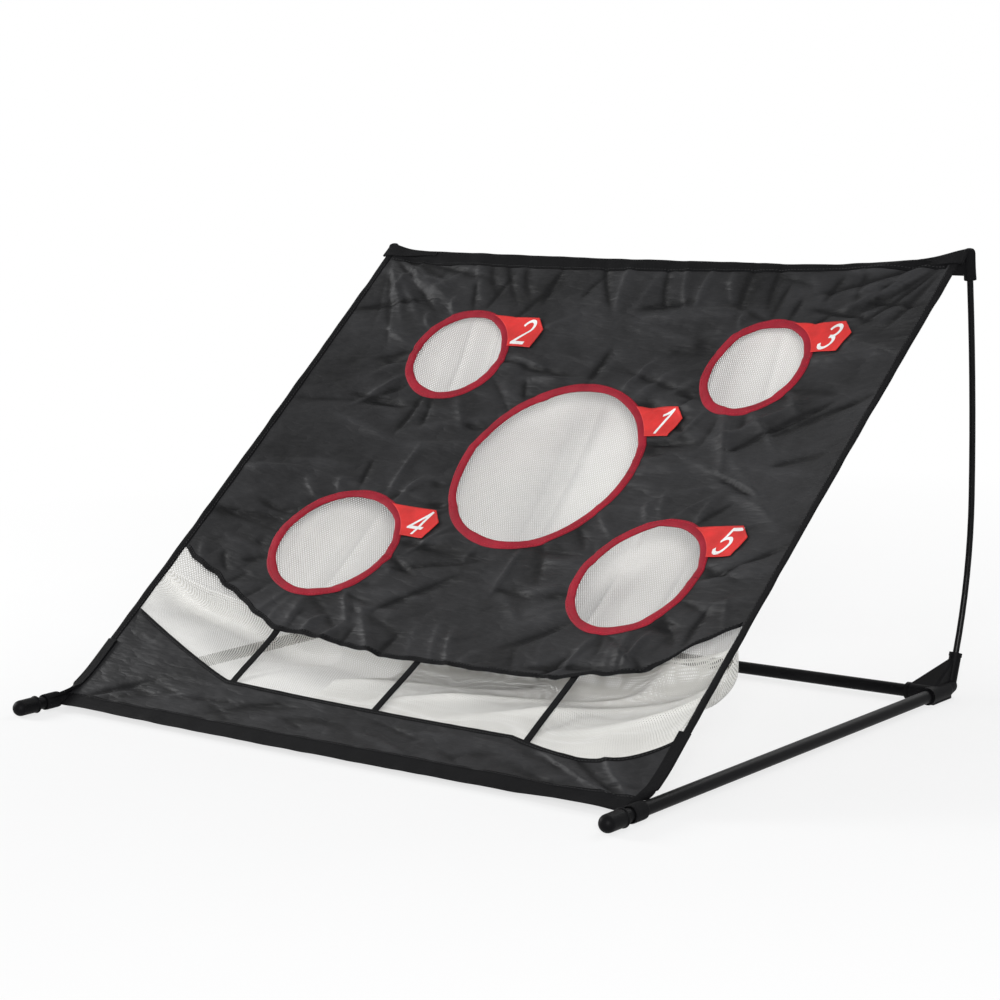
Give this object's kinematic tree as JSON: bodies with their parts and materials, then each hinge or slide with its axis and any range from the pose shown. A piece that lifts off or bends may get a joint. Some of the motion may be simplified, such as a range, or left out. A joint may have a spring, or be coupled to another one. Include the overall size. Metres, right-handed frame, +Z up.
{
  "type": "golf chipping net",
  "caption": "Leaning cloth chipping target with ringed holes, return slots and a catch net on a plug-together tube frame with sprung upright rods.",
  "frame": {"origin": "centre of the footprint, on the floor", "axes": "+X to the right as a player faces the targets, +Y from the player towards the back, +Z up"},
  "size_m": [0.9758, 0.7984, 0.5702],
  "materials": {
    "tube": "satin black powder coat on thin steel tube",
    "moulding": "fine-grained black nylon moulding",
    "rod": "smooth black glass-fibre rod",
    "rod_tip": "black moulded end tip",
    "cap": "soft black dipped vinyl, slightly glossy",
    "cloth": "dark charcoal coated nylon with soft creases",
    "hem": "black folded hem tape with a stitched edge",
    "webbing": "black woven webbing",
    "target_binding": "crimson grosgrain binding",
    "number_tab": "bright red coated cloth with a printed white number",
    "net": "fine white knitted mesh"
  },
  "bodies": {
    "frame_and_cover": {"crossbar_tube": "tube", "left_rear_connector": "moulding", "right_rear_connector": "moulding", "left_upright_rod": "rod", "right_upright_rod": "rod", "left_rod_tip": "rod_tip", "right_rod_tip": "rod_tip", "target_panel": "cloth", "bottom_flap": "cloth", "top_hem": "hem", "bottom_hem": "hem", "left_hem": "hem", "right_hem": "hem", "left_top_pocket": "webbing", "right_top_pocket": "webbing", "left_front_loop": "webbing", "right_front_loop": "webbing", "target_ring_1": "target_binding", "target_ring_2": "target_binding", "target_ring_3": "target_binding", "target_ring_4": "target_binding", "target_ring_5": "target_binding", "number_tab_1": "number_tab", "number_tab_2": "number_tab", "number_tab_3": "number_tab", "number_tab_4": "number_tab", "number_tab_5": "number_tab", "slot_divider_1": "webbing", "slot_divider_2": "webbing", "slot_divider_3": "webbing", "catch_net": "net"},
    "left_tube": {"left_side_tube": "tube"},
    "right_tube": {"right_side_tube": "tube"},
    "left_cap": {"left_front_cap": "cap"},
    "right_cap": {"right_front_cap": "cap"}
  },
  "joints": [
    {"name": "left_tube_pull", "type": "slide", "parent": "frame_and_cover", "child": "left_tube", "axis": [0, -1, 0], "range_m": [0, 0.042]},
    {"name": "right_tube_pull", "type": "slide", "parent": "frame_and_cover", "child": "right_tube", "axis": [0, -1, 0], "range_m": [0, 0.042]},
    {"name": "left_cap_pull", "type": "slide", "parent": "left_tube", "child": "left_cap", "axis": [0, -1, 0], "range_m": [0, 0.026]},
    {"name": "right_cap_pull", "type": "slide", "parent": "right_tube", "child": "right_cap", "axis": [0, -1, 0], "range_m": [0, 0.026]}
  ]
}
